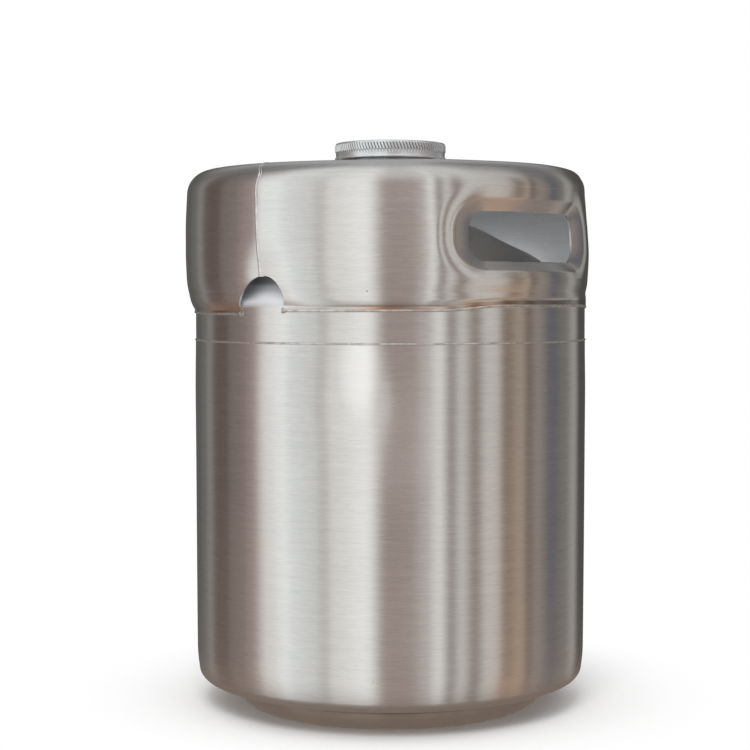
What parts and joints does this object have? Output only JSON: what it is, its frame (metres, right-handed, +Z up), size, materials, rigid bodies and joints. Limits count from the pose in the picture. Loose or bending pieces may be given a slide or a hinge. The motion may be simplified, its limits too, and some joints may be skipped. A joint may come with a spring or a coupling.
{
  "type": "mini keg",
  "caption": "Small round steel keg with a stepped foot, a welded carrying collar with drawn hand holes and a drain notch, and a knurled screw cap on a threaded neck.",
  "frame": {"origin": "on the floor, under the centre of the keg, at the bottom of its foot", "axes": "+Z up along the keg's axis. The hand holes face +X and -X. The collar's seam and drain notch are 8.4 degrees from -Y towards +X."},
  "size_m": [0.2392, 0.2392, 0.3263],
  "materials": {
    "brushed_steel": "brushed around the keg, dull satin",
    "weld_steel": "weld bead, lightly brushed, straw tint",
    "cap_aluminium": "satin, knurled band",
    "liner_plastic": "moulded, matt",
    "gasket_silicone": "matt"
  },
  "bodies": {
    "keg": {"lower_shell": "brushed_steel", "shoulder_dome": "brushed_steel", "girth_weld": "weld_steel", "neck_spout": "brushed_steel", "neck_weld": "weld_steel", "top_collar": "brushed_steel", "collar_seam_weld": "weld_steel", "collar_edge_weld": "weld_steel"},
    "gasket": {"cap_gasket": "gasket_silicone"},
    "cap": {"cap_shell": "cap_aluminium", "cap_thread_liner": "liner_plastic"}
  },
  "joints": [
    {"name": "cap_lift", "type": "slide", "parent": "keg", "child": "gasket", "axis": [0, 0, 1], "range_m": [0, 0.0061]},
    {"name": "cap_turn", "type": "hinge", "parent": "gasket", "child": "cap", "pos_m": [0, 0, 0.3227], "axis": [0, 0, 1], "range_deg": [0, 720]}
  ],
  "couplings": [
    {"joint": "cap_lift", "follows": "cap_turn", "m_per_rad": 0.00047746}
  ]
}
